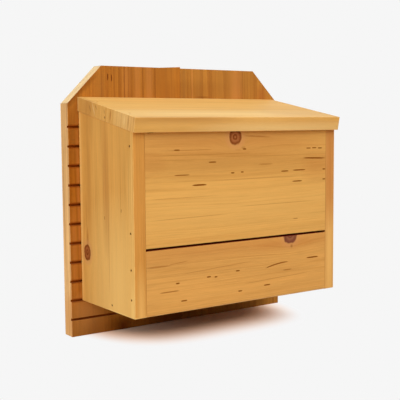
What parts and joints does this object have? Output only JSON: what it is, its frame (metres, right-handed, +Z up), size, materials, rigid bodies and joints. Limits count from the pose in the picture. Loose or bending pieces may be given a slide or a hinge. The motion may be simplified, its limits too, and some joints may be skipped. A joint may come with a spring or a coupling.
{
  "type": "bat box",
  "caption": "Wooden bat box with roosting chambers open below, kerfed landing plate behind, a sloping roof and an air slot across the front.",
  "frame": {"origin": "on the back plate's rear face, at the middle of its width and of its nominal height", "axes": "+X to the right as seen from the front, +Y out of the rear face towards the wall, +Z up"},
  "size_m": [0.355, 0.168, 0.3594],
  "materials": {
    "back_boards": "satin orange-brown stain, rough in the kerfs",
    "box_boards": "satin honey stain on planed pine",
    "roof_board": "satin pale honey stain on planed pine",
    "roost_boards": "dull stain on kerfed pine",
    "brad_steel": "dull, dimmed by stain",
    "screw_steel": "zinc plated"
  },
  "bodies": {
    "root": {"back_board_left": "back_boards", "back_board_right": "back_boards", "side_board_left": "box_boards", "side_board_right": "box_boards", "upper_front": "box_boards", "lower_front": "box_boards", "roof": "roof_board", "rear_roost": "roost_boards", "front_roost": "roost_boards", "upper_brad_left_high": "brad_steel", "upper_brad_left_low": "brad_steel", "lower_brad_left_high": "brad_steel", "lower_brad_left_low": "brad_steel", "roost_brad_left": "brad_steel", "roof_brad_left_rear": "brad_steel", "roof_brad_left_front": "brad_steel", "upper_brad_right_high": "brad_steel", "upper_brad_right_low": "brad_steel", "lower_brad_right_high": "brad_steel", "lower_brad_right_low": "brad_steel", "roost_brad_right": "brad_steel", "roof_brad_right_rear": "brad_steel", "roof_brad_right_front": "brad_steel", "side_screw_left_1": "screw_steel", "side_screw_left_2": "screw_steel", "side_screw_left_3": "screw_steel", "roof_screw_left_1": "screw_steel", "roof_screw_left_2": "screw_steel", "side_screw_right_1": "screw_steel", "side_screw_right_2": "screw_steel", "side_screw_right_3": "screw_steel", "roof_screw_right_1": "screw_steel", "roof_screw_right_2": "screw_steel"}
  },
  "joints": []
}
